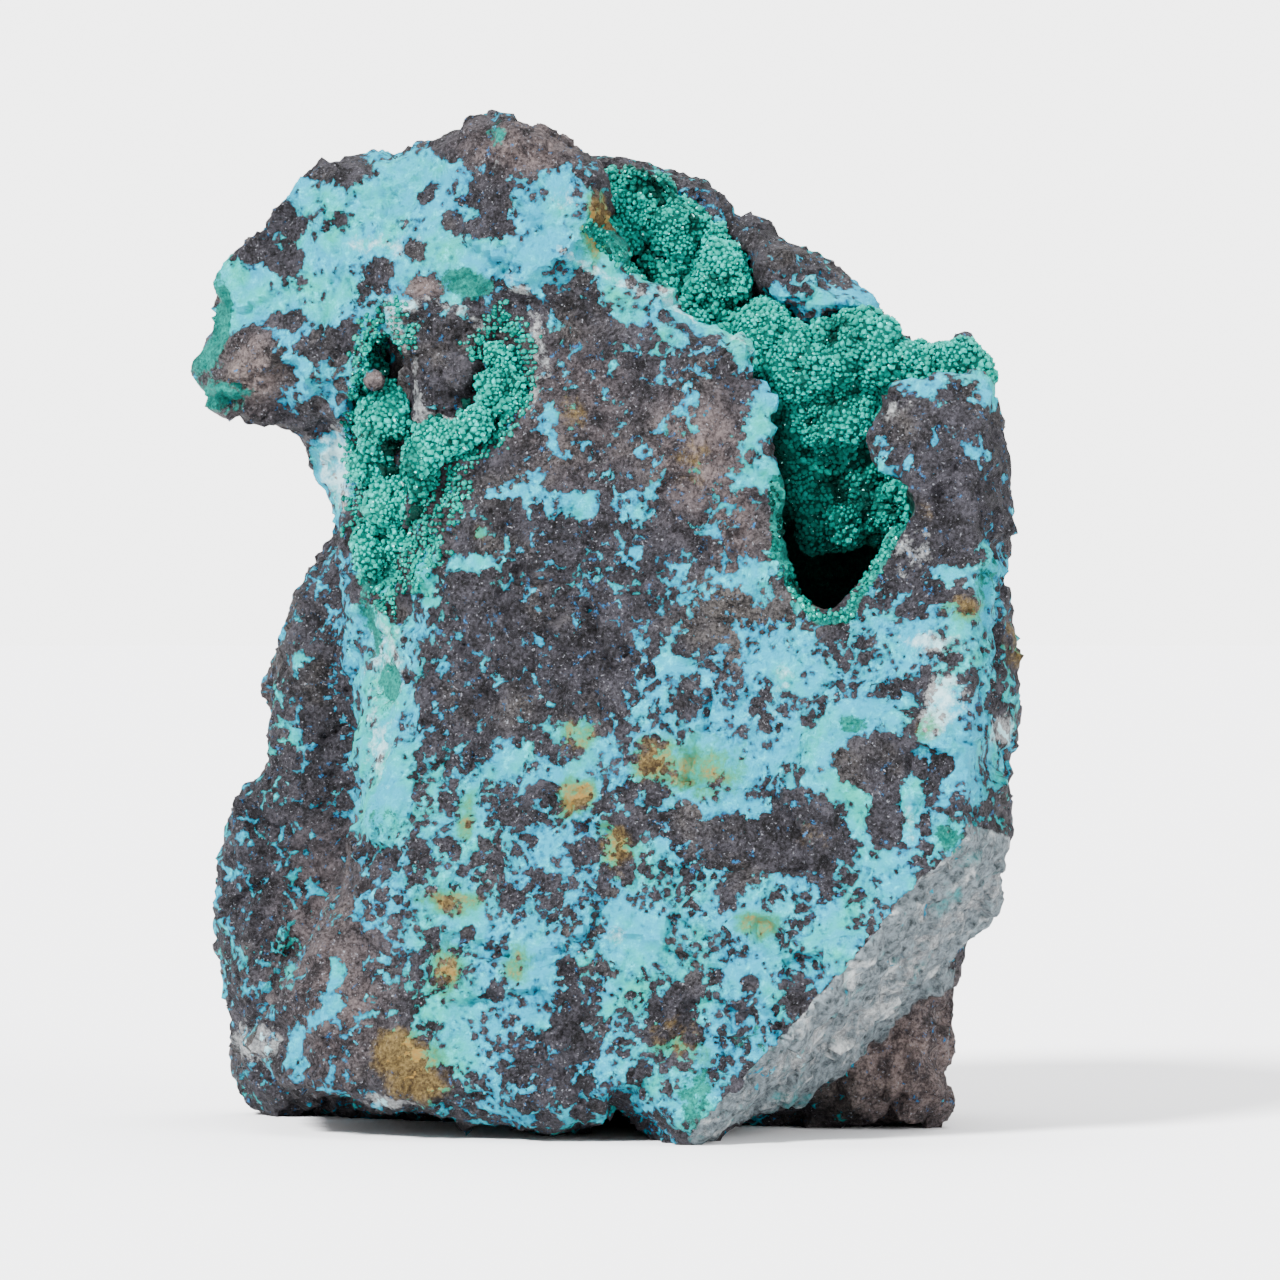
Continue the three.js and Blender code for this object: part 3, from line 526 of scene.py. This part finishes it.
def mark_stains(mesh, points, normals):
    """The placed marks where the front shows them, and noise on the other sides."""
    x, z = as_seen(points)
    front = smoothstep(-normals[:, 1], -0.3, 0.15)
    patchy = waves(points, 7, 9)
    mottled = 0.16 + 0.08 * patchy + (1 - front) * (0.26 * patchy - 0.06)
    turquoise = painted(x, z, TURQUOISE) + 0.44 * lined(x, z, TURQUOISE_LINES)
    set_attribute(mesh, "turquoise", front * turquoise + mottled)
    green_marks = front * (painted(x, z, GREEN) + 0.9 * lined(x, z, VUG_RIM))
    set_attribute(mesh, "green", green_marks + (1 - front) * 0.8 * waves(points, 5, 12))
    ochre_marks = front * 1.2 * painted(x, z, OCHRE)
    set_attribute(mesh, "ochre", ochre_marks + (1 - front) * 0.8 * waves(points, 6, 15))
    full_front = smoothstep(-normals[:, 1], 0, 0.4)
    white = painted(x, z, WHITE) + 0.62 * lined(x, z, WHITE_LINES)
    set_attribute(mesh, "white", full_front * white)
    set_attribute(mesh, "brown", front * painted(x, z, BROWN) + (1 - front) * 0.5)


def mark_vug(mesh, points):
    """The bare walls of the vug, behind the slab's front."""
    x, z = as_seen(points)
    in_vug = painted(x, z, [VUG_REACH]) > 0.5
    depth = points[:, 1] - SHIFT[1] - slab_front(x, z)
    inside = smoothstep(depth, 1.2, 3.5) * (points[:, 1] - SHIFT[1] < VUG_BACK)
    set_attribute(mesh, "deep", in_vug * inside)


def mark_break(mesh, points, normals):
    """The fresh break: the faces in its plane that face its way and lie above its lower end."""
    x, z = as_seen(points)
    facing = np.array(BREAK_FACING)
    off = (points - in_space(*BREAK_POINT)) @ facing / np.linalg.norm(facing)
    (x1, z1), (x2, z2) = BREAK_ENDS
    above = ((z - z1) * (x2 - x1) - (x - x1) * (z2 - z1)) / np.hypot(x2 - x1, z2 - z1)
    broken = smoothstep(off, -0.9, -0.35) * smoothstep(normals @ facing, 0.3, 0.7)
    set_attribute(mesh, "broken", broken * smoothstep(above, -0.4, 0.4))


def spread_on(mesh, chance):
    """Seats for grains on a mesh, none too near another: places, the ways they face, radii, and the
    vertex that each one is next to."""
    mesh.calc_loop_triangles()
    corners = np.array([triangle.vertices for triangle in mesh.loop_triangles])
    points, normals = points_of(mesh), normals_of(mesh)
    sides = points[corners[:, 1]] - points[corners[:, 0]], points[corners[:, 2]] - points[corners[:, 0]]
    areas = 0.5 * np.linalg.norm(np.cross(*sides), axis=1)
    areas[normals[corners[:, 0], 1] > BACKWARD] = 0
    picks = chance.choice(len(corners), int(areas.sum() / GRAIN_RADII[0] ** 2), p=areas / areas.sum())
    share = chance.dirichlet((1, 1, 1), len(picks))[:, :, None]
    places = (points[corners[picks]] * share).sum(axis=1)
    facing = unit((normals[corners[picks]] * share).sum(axis=1))
    sizes = np.clip(0.45 + 0.8 * waves(places, 1.3, 4) + 0.5 * chance.uniform(-1, 1, len(places)), 0, 1)
    radii = GRAIN_RADII[0] + (GRAIN_RADII[1] - GRAIN_RADII[0]) * sizes
    box = GRAIN_SPACING * GRAIN_RADII[1]
    steps = list(product((-1, 0, 1), repeat=3))
    taken, kept = {}, []
    for i, place in enumerate(places):
        cell = tuple(np.floor(place / box).astype(int))
        around = [(cell[0] + a, cell[1] + b, cell[2] + c) for a, b, c in steps]
        near = [j for spot in around for j in taken.get(spot, ())]
        if near:
            reach = GRAIN_SPACING * 0.5 * (radii[near] + radii[i])
            if (((places[near] - place) ** 2).sum(axis=1) < reach**2).any():
                continue
        taken.setdefault(cell, []).append(i)
        kept.append(i)
    return places[kept], facing[kept], radii[kept], corners[picks[kept], 0]


def round_grain():
    """A ball of 20 faces: its corners and its faces."""
    made = bmesh.new()
    bmesh.ops.create_icosphere(made, subdivisions=1, radius=1)
    corners = np.array([corner.co[:] for corner in made.verts])
    faces = np.array([[corner.index for corner in face.verts] for face in made.faces])
    made.free()
    return corners, faces


def grains_at(places, facing, radii, seat_shade_and_tone, ball, chance):
    """The corners of uneven balls at those places, and the painted shade and light at each corner: darker
    low on each grain, scaled by the given shade and a random tone for each grain.
    """
    uneven = 1 + GRAIN_UNEVENNESS * chance.uniform(-1, 1, (len(places), len(ball), 1))
    sunk = places + facing * (radii * chance.uniform(-0.5, 0.5, len(radii)))[:, None]
    grains = sunk[:, None] + radii[:, None, None] * uneven * ball
    # painted shade: each grain is darker on its lower side, away from the way it faces
    painted_top_light = 0.5 + 0.5 * np.einsum("gk,vk->gv", facing, ball)
    # painted shade from the given values, times a tone that differs at random from grain to grain
    grain_shade_and_tone = (0.14 + 0.86 * seat_shade_and_tone) * chance.uniform(0.7, 1.1, len(seat_shade_and_tone))
    return grains, grain_shade_and_tone[:, None] * painted_top_light


def crust(node, name, material, rock_mesh, rim):
    """Round bunches of crystals: a bed with balls on it, painted dark as shade between the grains, small
    grains all over it, and more of them along the rim of the rock."""
    piece = remeshed(node, name, CRUST_VOXEL)
    bed = piece.data
    points = points_of(bed)
    lumps = sum(height * balls(points, size, i + 1) for i, (size, height) in enumerate(CRUST_BALLS))
    set_points(bed, points + normals_of(bed) * (CRUST_SWELL + lumps)[:, None])
    tips = lumps / sum(height for _, height in CRUST_BALLS)

    chance = np.random.default_rng(len(points))
    places, facing, radii, beside = spread_on(bed, chance)
    # painted shade: grains seated low between the balls of the bed are darker; rim grains get a random
    # tone, and the SHADE marks darken them further
    seat_shade_and_tone = smoothstep(tips[beside], 0.35, 0.9)
    seats, outward = points_of(rock_mesh), normals_of(rock_mesh)
    near = RIM_SHARE * lined(*as_seen(seats), rim) * (outward[:, 1] < BACKWARD) > chance.random(len(seats))
    places = np.concatenate([places, seats[near]])
    facing = np.concatenate([facing, outward[near]])
    radii = np.concatenate([radii, chance.uniform(*GRAIN_RADII, near.sum()) * 0.8])
    seat_shade_and_tone = np.concatenate([seat_shade_and_tone, 0.3 + 0.6 * chance.random(near.sum())])
    seat_shade_and_tone = seat_shade_and_tone * (1 - np.clip(painted(*as_seen(places), SHADE), 0, 1))

    ball, ball_faces = round_grain()
    grains, grain_painted_light = grains_at(places, facing, radii, seat_shade_and_tone, ball, chance)
    first = len(points) + len(ball) * np.arange(len(places))[:, None, None]
    faces = [list(face.vertices) for face in bed.polygons]
    grain_faces = (first + ball_faces).reshape(-1, 3).tolist()
    whole = bpy.data.meshes.new(name)
    whole.from_pydata(np.concatenate([points_of(bed), grains.reshape(-1, 3)]) * MM, [], faces + grain_faces)
    whole.polygons.foreach_set("use_smooth", [True] * len(faces) + [False] * len(grain_faces))
    # painted shade: the bed under the grains stays dark, at most 0.3 of the way up the ramp, while the
    # grains carry their own painted shade and light
    set_attribute(whole, "painted_light", np.concatenate([0.3 * tips, grain_painted_light.ravel()]))
    glints = chance.random(grain_painted_light.size) < GLINT_SHARE
    set_attribute(whole, "glint", np.concatenate([np.zeros(len(points)), glints]))
    whole.materials.append(material)
    piece.data = whole
    return piece


def floor():
    bpy.ops.mesh.primitive_plane_add(size=60)
    plane = bpy.context.object
    plane.name = "floor"
    shader = Shader("floor")
    shader.surface.inputs["Base Color"].default_value = linear("f4f4f6")
    shader.surface.inputs["Roughness"].default_value = 1
    shader.surface.inputs["Specular IOR Level"].default_value = 0
    plane.data.materials.append(shader.material)


def light(name, place, angle, strength):
    """A soft, far lamp: the place that it shines from, how wide it looks in degrees, and its strength."""
    lamp = bpy.data.lights.new(name, "SUN")
    lamp.angle = np.radians(angle)
    lamp.energy = strength
    holder = bpy.data.objects.new(name, lamp)
    holder.rotation_euler = Vector(place).to_track_quat("Z", "Y").to_euler()
    bpy.context.scene.collection.objects.link(holder)


def studio():
    """Soft lamps, and a white surround that looks brighter than the light it gives."""
    world = bpy.data.worlds.new("studio")
    world.use_nodes = True
    nodes, links = world.node_tree.nodes, world.node_tree.links
    seen = nodes.new("ShaderNodeLightPath").outputs["Is Camera Ray"]
    strength = nodes.new("ShaderNodeMapRange")
    strength.inputs["To Min"].default_value = SURROUND_LIGHT
    strength.inputs["To Max"].default_value = SURROUND_LOOK
    links.new(seen, strength.inputs["Value"])
    links.new(strength.outputs[0], nodes["Background"].inputs["Strength"])
    nodes["Background"].inputs["Color"].default_value = (1, 1, 1, 1)
    bpy.context.scene.world = world
    light("key", (-0.55, -0.8, 0.75), 12, 13)
    light("fill", (0.8, -0.7, 0.35), 40, 3.2)
    light("top", (0.1, 0.4, 1), 50, 4)


def camera():
    lens = bpy.data.cameras.new("camera")
    lens.sensor_width = SENSOR_WIDTH
    lens.lens = SENSOR_WIDTH * VIEW_DISTANCE / FRAME_WIDTH
    holder = bpy.data.objects.new("camera", lens)
    holder.location = Vector(in_space(VIEW_X, -VIEW_DISTANCE, VIEW_Z)) * MM
    holder.rotation_euler = (np.pi / 2, 0, 0)
    bpy.context.scene.collection.objects.link(holder)
    bpy.context.scene.camera = holder


rock_piece = rock()
green = crystal_material()
vug_crystals = crust("vug_crust", "vug_crystals", green, rock_piece.data, VUG_RIM)
flank_crystals = crust("flank_crust", "flank_crystals", green, rock_piece.data, FLANK_RIM)
for piece, node in ((rock_piece, "matrix"), (vug_crystals, "vug_crust"), (flank_crystals, "flank_crust")):
    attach(piece, "root")
    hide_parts(node)
floor()
studio()
camera()
